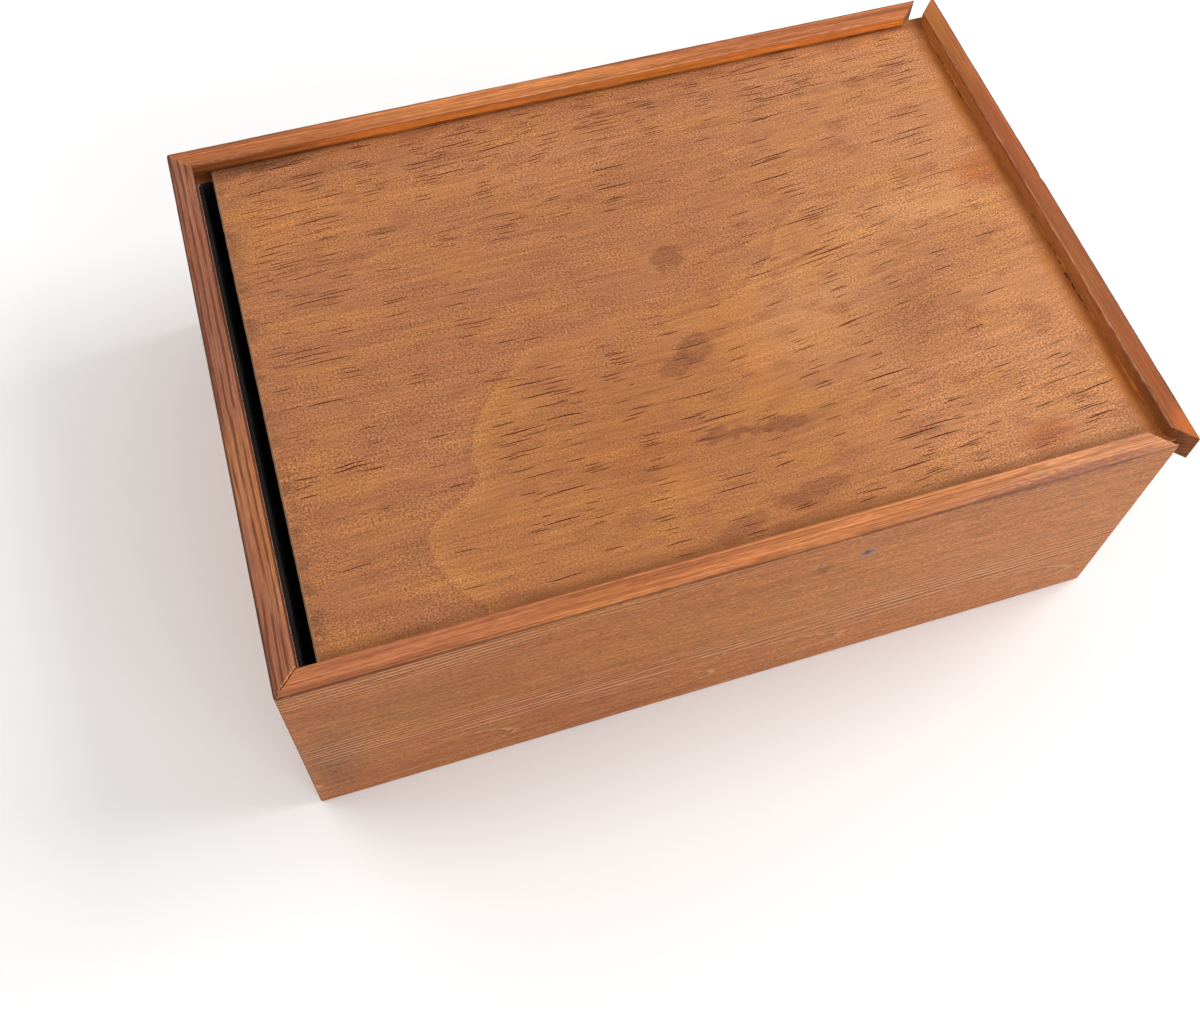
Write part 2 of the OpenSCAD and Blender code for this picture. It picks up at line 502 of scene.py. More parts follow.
def grain_lines(tree, grain):
    """Masks of the outer face's pale grain lines and of the dark lines just under them, and of the
    lines on the top edge. The dark lines are partly stain in the soft grain and partly painted shade
    under the raised grain.
    """
    rings = tree.wavy(tree.field("rings"), 0.08, grain(14, 1.6))
    vees = tree.wavy(tree.field("vees"), 0.03, grain(9, 1.2))
    raised = tree.field("raised")
    own_stretch = tree.together(tree.x, tree.y, tree.times(tree.math("FLOOR", rings), 31))
    own = tree.noise(grain(26, 9), 2, own_stretch)
    shown = tree.between(tree.math("MULTIPLY_ADD", raised, 0.16, own), 0.48, 0.60)
    bundle = tree.times(tree.add(raised, 0.05), shown)
    arch = tree.times(tree.field("arch"), tree.patches(0.3, 0.5, grain(12, 3)), 0.6)

    def lines(ring_count, ring_width, vee_count, vee_width):
        rising = tree.times(tree.line(ring_count, ring_width), bundle)
        return tree.most(rising, tree.times(tree.line(vee_count, vee_width), arch))

    pale = lines(rings, 0.2, vees, 0.03)
    # Dark lines just under the pale ones: partly stain, partly painted shade under raised grain
    dark = lines(tree.add(rings, 0.34), 0.22, tree.add(vees, 0.036), 0.026)
    on_top = tree.times(tree.line(rings, 0.26), tree.between(own, 0.36, 0.54), tree.field("top"))
    return pale, dark, on_top


def pine_colour(tree, grain, tones, places):
    """The stained wood's colour before its grain lines, patchy along the grain."""
    tree.start(tree.field("top"), tones["face"], tones["top"])
    tree.paint(tones["lip"], tree.field("lip"))
    tree.paint((190, 126, 58), tree.patches(0.46, 0.66, grain(70, 20), 2), 0.35)
    tree.paint((168, 88, 54), tree.patches(0.5, 0.7, grain(48, 7), bend=0.4), 0.4)
    tree.tint(places)
    tree.shade(tree.noise(grain(60, 1.6), 4), 0.86, 1.12)


def face_texture(tree, grain):
    """Fibres, grit and flecks of the broad faces."""
    tree.shade(tree.noise(grain(7, 0.95), rough=0.65), 0.74, 1.26)
    tree.shade(tree.noise(grain(1.3, 0.8), 2), 0.68, 1.32)
    tree.deepen(0.6, tree.dashes(tree.point, grain(12, 2.2), 0.12, 0.32, 0.3, 3), 0.4)
    tree.deepen(1.5, tree.dashes(tree.point, grain(9, 2.0), 0.1, 0.26, 0.3, 9), 0.4)


def top_texture(tree, grain):
    """Fibres and long streaks of the narrow top edges."""
    tree.deepen(0.68, tree.patches(0.52, 0.62, grain(42, 0.7)), 0.5)
    tree.shade(tree.noise(grain(5, 0.42), rough=0.7), 0.7, 1.3)
    tree.shade(tree.noise(grain(70, 0.5), 1), 0.66, 1.34)


def pine(name, grain, tones, places=(), marks=()):
    """Stained pine. grain is along_x or along_y. tones has the colours of the outer face, the
    top edge, the inner lip and the growth lines on top, and how strong those lines, the top
    edge's texture and the painted shade on the outer arris are. places are soft patches, marks are
    functions."""
    tree = Tree(name)
    pale, dark, top_lines = grain_lines(tree, grain)
    pine_colour(tree, grain, tones, places)
    plain = tree.base
    top_texture(tree, grain)
    top_edge = tree.mix(tones["texture"], plain, tree.base)
    tree.base = plain
    face_texture(tree, grain)
    # Darker under each raised grain line: partly stain, partly painted shade
    tree.deepen(0.5, dark, 0.8)
    tree.paint((236, 172, 126), pale, 0.85)
    narrow = tree.most(tree.field("top"), tree.times(tree.field("lip"), 0.85))
    tree.base = tree.mix(narrow, tree.base, top_edge)
    tree.paint(tones["line"], top_lines, tones["lines"])
    # Pale where edges are worn and chipped, and a painted highlight along the left wall's mitres
    tree.paint((232, 176, 136), tree.field("wear_and_highlight"), tree.patches(0.38, 0.6, grain(3, 0.7)), 0.45)
    # Painted shade on the rounded outer arris
    tree.paint((64, 38, 28), tree.field("rim"), tree.uneven(0.7, 1.1, grain(14, 4)), tones["rim"])
    for mark in marks:
        mark(tree)
    fibre = tree.noise(grain(6, 0.5), rough=0.7)
    relief = tree.minus(tree.add(tree.times(pale, 1.2), fibre), tree.times(dark, 0.5))
    return tree.finish(tree.spread(fibre, 0.48, 0.66), relief, 0.12, 0.8)


def end_grain():
    """Stained end grain on the mitres."""
    tree = Tree("end_grain")
    tree.start(tree.patches(0.35, 0.65, (3, 3, 3)), (134, 78, 46), (160, 98, 60))
    tree.paint((104, 58, 36), tree.line(tree.field("rings"), 0.28), 0.5)
    grit = tree.noise((0.3, 0.3, 0.3), 4)
    tree.shade(grit, 0.85, 1.15)
    return tree.finish(0.7, grit, 0.06, 0.8)


def scuff_mark(tree):
    """The blue-grey scuff on the front wall, with a darker core, and a small knot beside it."""
    bent = tree.bent(0.9, (2, 2, 2))
    for centre, size, edge, tone, share in SCUFF_SPOTS:
        tree.paint(tone, tree.spot(centre, size, edge, bent), share)


def bruised_top(tree):
    """The purplish rough stretch on the outer half of the front wall's top edge, by its right end."""
    stretch = tree.spot((100, -98.7, 100), (36, 2.2, 3), 0.45, tree.bent(0.9, (3, 1, 3), 4))
    tree.paint((134, 88, 80), stretch, tree.patches(0.36, 0.56, (2.4, 0.5, 2), 4), 0.62)


def open_mitres(tree):
    """A painted golden highlight along the left wall's mitres, most of it at the near one, and painted
    shade in the near mitre's opened crack.
    """
    along = tree.minus(HALF_Y, tree.math("ABSOLUTE", tree.y))
    from_mitre = tree.minus(along, tree.add(tree.x, HALF_X))
    ragged = tree.wavy(from_mitre, 0.3, (0.8, 0.8, 2))
    near_one = tree.between(tree.y, 10, -10)
    share = tree.times(tree.math("MULTIPLY_ADD", near_one, 0.5, 0.3),
                       tree.between(tree.x, -138.5, -135.5),
                       tree.patches(0.36, 0.5, (1.2, 1.2, 3)))
    # Painted golden highlight beside the mitre
    tree.paint((232, 156, 84), tree.between(ragged, 1.05, 0.8), share)
    # Painted shade in the opened crack of the near mitre
    tree.paint((62, 28, 16), tree.between(ragged, 0.4, 0.28), near_one, 0.92)


def painted_lip_shade(tree):
    """Painted shade along the lower edge of the rear wall's lip, where the groove opens over the lid.
    """
    low, on_face = tree.between(tree.z, 96.4, 95.8), tree.between(tree.y, 92.9, 92.6)
    tree.paint((70, 34, 14), low, on_face, tree.uneven(0.5, 1.0, (18, 4, 4)), 0.85)


def rail_patches(tree):
    """A dark smear on the rail's inner face at the near end, a golden patch on its near tip, and
    a pale scratch and a dark line along its inner arris."""
    bent = tree.bent(1.2, (3, 3, 3))
    smear = tree.spot((139.6, -86, 98), (1.8, 22.0, 5), 0.7, bent)
    tree.paint((96, 58, 38), smear, 0.5)
    tip = tree.spot((145.5, -97, 99.7), (3.5, 9.0, 4), 0.6, bent)
    tree.paint((214, 116, 56), tip, 0.5)
    wavy_x = tree.wavy(tree.x, 0.2, (3, 9, 3))
    scratch = tree.times(tree.between(tree.away(wavy_x, 140.9), 0.2, 0.08),
                         tree.between(tree.z, 98.5, 99.2), tree.between(tree.y, 40, 28))
    tree.paint((222, 158, 112), scratch, tree.patches(0.38, 0.52, (3, 9, 3)), 0.3)
    arris = tree.between(tree.away(wavy_x, 140.2), 0.3, 0.12)
    tree.paint((112, 58, 30), arris, tree.between(tree.z, 98.6, 99.3), 0.5)


def lid_tones(tree, straightened, figure, clear):
    """The veneer's tones, its figure with the boundary's bright and dark lines, and the islands."""
    bent = tree.bent(1.6, (5, 3, 5), 4)
    tree.start(tree.times(tree.between(figure, -3, 3), clear), (170, 110, 72), (172, 111, 67))
    tree.paint((189, 128, 85), tree.between(tree.x, 20, 110))
    for centre, size, tone, share in LID_TONES:
        tree.tint([(centre + (LID_TOP,), size + (9,), tone, share)], bent)
    tree.paint((194, 130, 66), tree.patches(0.46, 0.68, (44, 12, 1), 3, straightened), 0.32)
    tree.paint((154, 94, 62), tree.patches(0.5, 0.68, (16, 7, 9), 3, straightened), 0.5)
    ragged = tree.wavy(figure, 0.8, (4, 2, 4), 4)
    for near, full, far, tone, share in ((-0.2, 0.5, 8, (202, 140, 78), 0.26),
                                         (0.1, -0.3, -3.5, (146, 90, 56), 0.3)):
        side = tree.times(tree.between(ragged, near, full), tree.between(ragged, far, full), clear)
        tree.paint(tone, side, share)
    for centre, size, turn, share in LID_ISLANDS:
        island = tree.spot(centre + (LID_TOP,), size + (9,), 0.22, bent, turn)
        tree.paint((124, 72, 48), island, share)


def lid_pores(tree, flow):
    """Open pores: long and short tapered strokes, and fine hairs between them."""
    density = tree.field("pores")
    row = tree.together(tree.x, tree.wavy(flow, 0.3, (14, 6, 3), 2), 0.0)
    broken = tree.patches(0.26, 0.42, (5, 0.6, 1), 3, row)
    long_pores = tree.dashes(row, (56, 1.3, 1), 0.08, 0.2, tree.times(density, 0.52), 1, True)
    short_pores = tree.dashes(row, (20, 0.95, 1), 0.1, 0.27, tree.times(density, 0.54), 6, True)
    hair = tree.patches(0.64, 0.69, (17, 0.38, 1), 1.5, row, 0.6)
    strokes = tree.most(tree.times(long_pores, broken), tree.times(short_pores, 0.85))
    return tree.most(strokes, tree.times(hair, density, 0.5))


def lid_stains_and_shade(tree):
    """Stain along the front wall and the pull rail, deepened by painted shade where they meet the lid,
    painted shade under the rear wall's lip, dirt on the leading edge and a paler line along its bevel.
    """
    uneven = tree.uneven(0.5, 1.1, (22, 22, 22))
    ragged_x = tree.wavy(tree.x, 2.0, (3, 12, 3))
    # Brown stain along the front wall, darkened further as painted shade of the wall on the lid
    tree.paint((112, 70, 36), tree.between(tree.y, -85.5, -90.8), uneven, 0.8)
    # Painted shade on the lid under the rear wall's lip
    tree.paint((84, 44, 24), tree.between(tree.y, 90.6, 92.4), uneven, 0.25)
    # Amber glue stain along the pull rail; the darker band next to the joint is partly painted shade of
    # the rail
    tree.paint((176, 106, 50), tree.between(ragged_x, 132.0, 137.6), uneven)
    tree.paint((166, 90, 38), tree.between(ragged_x, 136.5, 139.5), uneven, 0.7)
    dirt = tree.patches(0.46, 0.66, (9, 5, 9), 4)
    tree.paint((88, 58, 40), tree.between(tree.x, -118, -127), dirt, 0.5)
    # Paler along the bevelled leading edge
    paler_bevel = tree.uneven(0.3, 1.0, (2, 3, 2))
    tree.paint((186, 158, 130), tree.between(tree.x, -125.9, -126.6), paler_bevel, 0.8)


def lid_surface():
    """Golden brown veneer with open pores, a figure and dark islands."""
    tree = Tree("lid_veneer")
    flow, figure, clear = tree.field("flow"), tree.field("gold"), tree.field("clear")
    straightened = tree.together(tree.x, flow, 0.0)
    lid_tones(tree, straightened, figure, clear)
    tree.shade(tree.noise((60, 1.6, 3), 4, straightened), 0.88, 1.11)
    tree.shade(tree.noise((20, 0.7, 1), 3, straightened), 0.85, 1.15)
    sand = tree.noise((0.72, 0.5, 0.6), 2, straightened, 0.6)
    sanded = tree.math("MULTIPLY_ADD", tree.patches(0.3, 0.55, (16, 9, 9)), 0.6, 0.4)
    outside = tree.minus(1.0, tree.times(tree.between(figure, -3, 6), clear, 0.35))
    tree.deepen(tree.spread(sand, 0.36, 1.62), sanded, outside)
    pores = lid_pores(tree, flow)
    tree.paint((72, 12, 0), pores)
    lid_stains_and_shade(tree)
    relief = tree.minus(tree.times(sand, 0.6), pores)
    return tree.finish(tree.spread(sand, 0.46, 0.62), relief, 0.1, 0.8)


def lid_edge():
    """The lid plywood's edge: a dark core between two thin face plies."""
    tree = Tree("lid_edge")
    face_t, soft = 0.9, 0.12
    upper, lower = LID_TOP - face_t, LID_BOTTOM + face_t
    height = tree.wavy(tree.z, 0.12, (9, 9, 2), 2)
    core = tree.times(tree.between(height, upper, upper - soft),
                      tree.between(height, lower, lower + soft))
    tree.start(core, (176, 134, 98), (128, 84, 54))
    grit = tree.noise((0.5, 0.5, 0.25), 4)
    tree.shade(grit, 0.82, 1.12)
    tree.paint((84, 52, 34), tree.between(tree.away(height, upper), 0.12, 0.03), 0.6)
    return tree.finish(0.72, grit, 0.08, 0.8)


def base_plywood():
    """The base panel's face, a plainer veneer."""
    tree = Tree("base_plywood")
    wave = tree.bent(6, (150, 50, 30), 1)
    tree.start(tree.patches(0.3, 0.72, (240, 5, 20), 4, wave), (188, 143, 98), (174, 126, 82))
    tree.shade(tree.noise((70, 0.8, 9), 3, wave), 0.9, 1.1)
    sand = tree.noise((1.6, 0.5, 1), 4)
    tree.shade(sand, 0.88, 1.1)
    pores = tree.dashes(tree.point, (14, 1.2, 9), 0.12, 0.42, 0.3, 4)
    tree.paint((104, 66, 40), pores, 0.6)
    relief = tree.minus(tree.times(sand, 0.5), pores)
    return tree.finish(tree.spread(sand, 0.6, 0.75), relief, 0.06, 0.7)


def pulp_board():
    """Pale card, seen at the lining's upper edge."""
    tree = Tree("pulp_board")
    fibre = tree.noise((1.2, 1.2, 0.4), 4)
    tree.start(tree.between(fibre, 0.3, 0.7), (150, 108, 96), (206, 160, 146))
    return tree.finish(0.85, fibre, 0.08, 0.7)


def velvet():
    """Short black pile that catches a little light at a slant."""
    tree = Tree("black_velvet")
    tree.start(tree.patches(0.35, 0.65, (22, 22, 22), 4, bend=0.6), (40, 34, 31), (50, 44, 40))
    pile = tree.noise((0.35, 0.35, 0.35))
    tree.shade(pile, 0.6, 1.4)
    tree.shader.inputs["Sheen Weight"].default_value = 0.08
    tree.shader.inputs["Sheen Roughness"].default_value = 0.45
    tree.shader.inputs["Sheen Tint"].default_value = colour(150, 146, 150)
    tree.shine = 0.15
    return tree.finish(0.95, pile, 0.12, 0.9)


def dried_glue():
    """Amber wood glue that ran out of the joint, with a dark crack here and there."""
    tree = Tree("dried_glue")
    cloud = tree.noise((6, 6, 6))
    tree.start(tree.between(cloud, 0.38, 0.62), (188, 108, 44), (150, 84, 36))
    broken = tree.patches(0.46, 0.54, (2, 2.2, 2))
    tree.paint((44, 24, 16), tree.field("crack"), broken, 0.9)
    return tree.finish(0.5, cloud, 0.1, 0.5)


# Dark islands on the lid: centre, reach, turn in degrees and share
LID_ISLANDS = [
    ((12.7, 15.0), (6.0, 4.6), 0, 0.55),
    ((2.0, -26.0), (6.5, 3.6), 22, 0.45),
    ((9.5, -21.5), (6.0, 4.4), 10, 0.45),
    ((8.5, -54.2), (8.0, 2.5), -4, 0.55),
    ((18.0, -55.4), (5.0, 1.4), -4, 0.5),
    ((27.5, -55.6), (7.5, 2.5), -4, 0.6),
    ((2.0, -85.5), (9.5, 3.0), 14, 0.4),
    ((27.0, -79.8), (13.0, 2.8), 7, 0.45),
]
# Soft patches of other colours on the lid: centre, reach, colour and share
LID_TONES = [
    ((-108, 60), (26, 14), (190, 124, 70), 0.45),
    ((-70, 66), (30, 8), (192, 126, 74), 0.4),
    ((-6, 50), (28, 12), (158, 98, 60), 0.35),
    ((-75, 6), (48, 22), (164, 104, 67), 0.45),
    ((-108, -58), (24, 34), (158, 100, 62), 0.45),
    ((-20, -54), (15, 11), (168, 100, 54), 0.5),
    ((-30, -20), (26, 12), (172, 110, 66), 0.4),
    ((26, -20), (9, 24), (196, 126, 66), 0.35),
    ((70, 60), (50, 30), (176, 116, 78), 0.4),
    ((52, -18), (22, 22), (200, 142, 98), 0.45),
    ((-16, -48), (22, 22), (160, 100, 58), 0.25),
    ((-14, 66), (24, 16), (194, 132, 88), 0.35),
    ((84, -30), (18, 15), (150, 94, 62), 0.6),
    ((104, -8), (18, 12), (158, 102, 70), 0.5),
    ((104, 12), (30, 8), (206, 146, 96), 0.45),
    ((131.5, 20.5), (8, 6.5), (172, 94, 48), 0.75),
    ((105, -82.5), (8, 4.5), (176, 92, 50), 0.5),
    ((96, -60), (12, 5), (154, 98, 66), 0.35),
    ((-112, 91), (18, 2.6), (104, 66, 46), 0.7),
]
# The line where the figure of the lid's veneer changes, from the front wall inwards
FIGURE_LINE = [
    (-77, -100), (-77, -88), (-84, -80), (-88, -71), (-89, -62), (-83, -56.5), (-74, -52),
    (-68.5, -46), (-69.5, -39), (-64.5, -27.5), (-54, -16), (-42, -6), (-26, -7.5), (-10, -9.5),
    (1.5, -11), (15, -8), (28, -6), (37, -1), (46, 6.5), (50.5, 14), (58, 21), (66, 24),
    (90, 30), (150, 40),
]
# Where the lid's pores are open: centre, reach and strength
PORE_ZONES = [
    ((-105, 50), (36, 30), 1.0), ((-40, 78), (60, 15), 1.0), ((40, 78), (60, 12), 0.9),
    ((105, 78), (40, 14), 0.8), ((-30, 44), (34, 6), 1.0), ((80, 12), (50, 17), 0.8),
    ((-25, -25), (30, 20), 0.8), ((-30, -60), (50, 20), 0.65), ((50, -30), (34, 30), 0.5),
    ((100, -70), (50, 18), 0.9), ((-95, -20), (40, 26), 0.4), ((20, -88), (60, 10), 0.6),
    ((70, 50), (50, 18), 0.5),
]
# The front wall's scuff and its core, and the knot and its eye: centre, reach, edge, colour, share
SCUFF_SPOTS = [
    ((38.3, -100, 84.9), (3.2, 4, 3.4), 0.5, (166, 130, 126), 0.6),
    ((38.3, -100, 85.6), (1.5, 4, 1.5), 0.35, (88, 66, 84), 0.8),
    ((24.6, -100, 82.0), (2.2, 4, 4.0), 0.6, (132, 78, 54), 0.5),
    ((24.2, -100, 84.0), (1.2, 4, 0.9), 0.4, (205, 148, 96), 0.45),
]
# Soft patches on the walls and the rail: centre, reach, colour and share
FRONT_PLACES = [
    ((-8, -100, 58), (52, 4, 24), (180, 116, 58), 0.5),
    ((-106, -100, 68), (30, 4, 16), (152, 100, 58), 0.4),
    ((-131, -100, 34), (8, 4, 24), (118, 76, 60), 0.5),
    ((-50, -100, 30), (50, 4, 20), (170, 102, 62), 0.35),
    ((120, -100, 50), (95, 4, 70), (212, 142, 94), 0.5),
    ((60, -94, 100), (60, 6, 2), (204, 130, 78), 0.6),
    ((-110, -96, 100), (40, 6, 2), (166, 104, 72), 0.5),
    ((120, -96, 100), (40, 6, 2), (210, 148, 106), 0.6),
]
REAR_PLACES = [
    ((-120, 96, 100), (34, 6, 9), (172, 100, 60), 0.45),
    # painted shade on the lower lip near the left corner, by the lid's gap
    ((-122, 92.5, 96), (34, 2, 5), (112, 60, 34), 0.75),
    ((-20, 97, 100), (50, 6, 3), (222, 140, 78), 0.55),
    ((90, 97, 100), (60, 6, 3), (178, 104, 66), 0.4),
    ((0, 100, 40), (90, 4, 24), (180, 116, 60), 0.4),
]
LEFT_PLACES = [
    ((-136, -80, 100), (6, 30, 9), (176, 110, 74), 0.15),
    ((-138, 40, 100), (4, 70, 9), (150, 98, 74), 0.4),
]
RAIL_PLACES = [
    ((146.5, 40, 99.7), (2, 60, 3), (190, 104, 64), 0.4),
    ((143, -20, 99.7), (6, 30, 3), (156, 92, 60), 0.35),
]


# The lid

def distance_to_line(x, y, line):
    """Signed distance to a line of points, above 0 on its right-hand side."""
    best = np.full(x.shape, 1e9)
    side = np.zeros(x.shape)
    for (x0, y0), (x1, y1) in zip(line[:-1], line[1:]):
        dx, dy = x1 - x0, y1 - y0
        t = np.clip(((x - x0) * dx + (y - y0) * dy) / (dx * dx + dy * dy), 0, 1)
        away_x, away_y = x - x0 - t * dx, y - y0 - t * dy
        distance = np.hypot(away_x, away_y)
        nearer = distance < best
        best = np.where(nearer, distance, best)
        side = np.where(nearer, np.sign(dy * away_x - dx * away_y), side)
    return best * np.where(side == 0, 1, side)


def lid_flow(x, y):
    """Straightens the lid's grain, which climbs towards the back over the lid's right half."""
    start, full = -10.0, 45.0
    turned = np.clip((x - start) / (full - start), 0, 1)
    climb = (full - start) * (turned ** 3 - turned ** 4 / 2) + np.maximum(x - full, 0)
    rise = 0.125 * climb * lump((y + 10, 75))
    rise += 0.045 * np.minimum(x, 0.3 * x) * ramp(y, 10, 60)
    rise -= 0.03 * np.minimum(x, 0) * lump((y + 12, 22))
    rise += 0.03 * np.minimum(x + 50, 0) * lump((y + 55, 20))
    return y - rise + 0.8 * noise(x / 50, y / 14, seed=31)


def make_lid():
    """The lid panel with its bevelled leading edge."""
    bevel_x, bevel_z = LID_LEFT + LID_BEVEL, LID_TOP - LID_BEVEL
    path = legs((LID_LEFT, LID_BOTTOM), (LID_LEFT, bevel_z, 0.7), (bevel_x, LID_TOP, 0.3),
                (LID_RIGHT, LID_TOP, 1.2), (LID_RIGHT, LID_BOTTOM, 1), (LID_LEFT, LID_BOTTOM, 4))
    path_x, path_z = np.array(path).T
    rows = np.linspace(-LID_HALF, LID_HALF, 160)[:, None]
    x, y, z = (part.copy() for part in np.broadcast_arrays(path_x, rows, path_z))
    flow = lid_flow(x, y)
    on_top = ramp(z, LID_TOP - 0.05, LID_TOP)
    z -= on_top * 0.03 * (1 + noise(x / 25, flow / 1.8, seed=40))
    edge = ramp(x, LID_LEFT + 1.2, LID_LEFT)
    x += edge * 0.09 * (1 + noise(y / 1.3, z / 0.8, seed=41))
    pores = sum(s * lump((x - c[0], r[0]), (y - c[1], r[1])) for c, r, s in PORE_ZONES)
    clear = (1 - 0.85 * lump((x + 20, 24), (y + 8, 16))) * ramp(x, 74, 58)
    fields = {"flow": flow, "gold": distance_to_line(x, y, FIGURE_LINE),
              "pores": np.clip(pores, 0, 1), "clear": clear}
    materials = [lid_surface(), lid_edge()]
    piece = make_object("lid_board", (x, y, z), swept_faces(*x.shape), materials, fields)
    second_material(piece, lambda polygon: abs(polygon.normal.z) < 0.8)
    dress(piece, "lid", "lid_panel")


def make_glue():
    """The uneven bead of glue along the pull rail's foot, cracked along two stretches."""
    joint_x = INNER_X + LID_OPEN
    y = np.arange(-88.0, 88.01, 0.5)
    lumps = 0.5 + 0.5 * noise(y / 9, seed=80) + 0.25 * noise(y / 1.7, seed=81)
    width = 0.3 + 0.8 * np.clip(lumps, 0, 1.2)
    tall = 0.15 + 0.45 * np.clip(lumps + 0.2 * noise(y / 3, seed=82), 0, 1.2)
    ends = ramp(np.abs(y), 88, 80)
    width, tall = width * ends + 0.02, tall * ends + 0.02
    turns = np.radians([0, 20, 45, 70, 90])
    x = [joint_x - width * (1 - np.sin(turn) * 0.999) for turn in turns] + [joint_x + 0 * y]
    z = [LID_TOP - 0.03 + tall * (1 - np.cos(turn) * 0.999) for turn in turns]
    z += [LID_TOP - 0.05 + 0 * y]
    x, y, z = np.broadcast_arrays(np.stack(x, 1), y[:, None], np.stack(z, 1))
    crack = np.clip(lump((y - 62, 24)) + lump((y + 28, 26)), 0, 1)
    crack[:, 2:] = 0
    faces = swept_faces(*x.shape)
    glue = make_object("glue_bead", (x, y, z), faces, [dried_glue()], {"crack": crack})
    dress(glue, "lid")


# The lining

def declare_velvet(piece, node):
    """Attaches a sheet of velvet to the box and hides the CAD node that it stands for."""
    dress(piece, "box", node)


def make_wall_velvet(node, half_length, top, seed, place):
    """Velvet on a wall, its top edge turned over the card. place turns (s, in) into (x, y)."""
    bare_card, bend, back_up = 0.28, 0.35, 0.02
    fold = top + 0.18
    face = CARD_T + VELVET_T
    path = legs((CARD_T, BASE_T), (face, BASE_T, 0.3), (face, fold - bend, 1.8))
    path += rounded((face - bend, fold - bend), bend, 0, 90)
    path += legs((face - bend, fold), (bare_card, fold, 0.3))
    path += [np.array((bare_card, top + back_up)), np.array((CARD_T, top + back_up))]
    path_in, path_z = np.array(path).T
    s = np.linspace(-half_length, half_length, int(half_length))[:, None]
    across, height, s = np.broadcast_arrays(path_in, path_z, s)
    nap = noise(s / 9, height / 9, seed=seed) + 0.6 * noise(s / 2.6, height / 2.6, seed=seed + 1)
    on_face = ramp(across, face - 0.1, face) * ramp(height, BASE_T, BASE_T + 1)
    across = across - on_face * 0.08 * (1 + np.clip(nap, -1, 1))
    edge = ramp(across, bare_card + 0.3, bare_card) * ramp(height, top, top + 0.1)
    across = across + edge * 0.12 * noise(s / 2.1, seed=seed + 2)
    points = (*place(s, across), height)
    faces = swept_faces(*across.shape)
    piece = make_object(node + "_cloth", points, faces, [VELVET], sharp=60.0)
    declare_velvet(piece, node)


def floor_faces(rows, columns):
    """Faces of a sheet with a front and a back grid of points, closed round its rim."""
    count = rows * columns
    index = np.arange(count).reshape(rows, columns)
    quads = np.stack([index[:-1, :-1], index[1:, :-1], index[1:, 1:], index[:-1, 1:]], -1)
    quads = quads.reshape(-1, 4)
    rim = np.concatenate([index[0, :-1], index[:-1, -1], index[-1, :0:-1], index[:0:-1, 0]])
    sides = np.stack([rim, np.roll(rim, -1), np.roll(rim, -1) + count, rim + count], -1)
    return quads.tolist() + (quads[:, ::-1] + count).tolist() + sides.tolist()


def make_floor_velvet():
    """Velvet on the floor card, its edges rolled down to the wall lining."""
    half_x, half_y = INNER_X - CARD_T - VELVET_T, INNER_Y - CARD_T - VELVET_T
    bottom = BASE_T + FLOOR_CARD_T

    def steps(half):
        edge = half - np.array([0, 0.1, 0.25, 0.45, 0.75, 1.2, 2.0])
        return np.concatenate([-edge, np.linspace(3.2 - half, half - 3.2, int(half)), edge[::-1]])

    x, y = np.meshgrid(steps(half_x), steps(half_y), indexing="ij")
    roll = np.clip(np.minimum(half_x - np.abs(x), half_y - np.abs(y)) / 0.5, 0, 1)
    height = VELVET_T * (0.35 + 0.65 * np.sqrt(1 - (1 - roll) ** 2))
    nap = noise(x / 9, y / 9, seed=62) + 0.6 * noise(x / 2.6, y / 2.6, seed=72)
    height -= roll * 0.1 * (1 + np.clip(nap, -1, 1)) * VELVET_T
    points = [np.stack(pair) for pair in ((x, x), (y, y), (bottom + height, bottom + 0 * x))]
    faces = floor_faces(*x.shape)
    piece = make_object("floor_velvet_cloth", points, faces, [VELVET], sharp=60.0)
    declare_velvet(piece, "floor_velvet")


# The boards

# rim in these tones is how strong the painted shade on the outer arris is
WALL_TONES = {"face": (182, 113, 66), "top": (186, 112, 68), "lip": (236, 140, 60),
              "line": (128, 68, 42), "lines": 0.4, "texture": 1.0, "rim": 1.0}
FRONT_TONES = {**WALL_TONES, "rim": 0.75}
LEFT_TONES = {"face": (182, 113, 66), "top": (152, 96, 72), "lip": (96, 56, 40),
              "line": (104, 52, 34), "lines": 0.85, "texture": 0.7, "rim": 1.0}
RAIL_TONES = {"face": (172, 102, 66), "top": (146, 82, 44), "lip": (176, 108, 54),
              "line": (128, 68, 44), "lines": 0.2, "texture": 0.45, "rim": 0.9}
FRONT_PINE = pine("front_pine", along_x, FRONT_TONES, FRONT_PLACES, (scuff_mark, bruised_top))
REAR_PINE = pine("rear_pine", along_x, WALL_TONES, REAR_PLACES, (painted_lip_shade,))
LEFT_PINE = pine("left_pine", along_y, LEFT_TONES, LEFT_PLACES, (open_mitres,))
RIGHT_PINE = pine("right_pine", along_y, WALL_TONES)
RAIL_PINE = pine("rail_pine", along_y, RAIL_TONES, RAIL_PLACES, (rail_patches,))
END_GRAIN = end_grain()
VELVET = velvet()


def front_zone(s, z):
    """Where the front wall's grain stands proud."""
    bundles = lump((s + 105, 42), (z - 94, 7)) + 0.5 * lump((s + 30, 60), (z - 97, 3))
    for centre_s, centre_z, long, high, share in [
            (-124, 45, 24, 11, 0.9), (-72, 38, 24, 9, 0.9), (-36, 34, 22, 9, 0.6), (6, 34, 34, 8, 0.7),
            (55, 38, 24, 8, 0.6), (104, 37, 46, 11, 1.0), (95, 92, 40, 8, 0.35)]:
        bundles += share * lump((s - centre_s, long), (z - centre_z, high))
    return np.clip(0.1 + bundles, 0, 1)


def rear_zone(s, z):
    """Where the rear wall's grain stands proud."""
    return np.clip(0.05 + 0.8 * noise(s / 48, z / 13, seed=91), 0, 0.8)


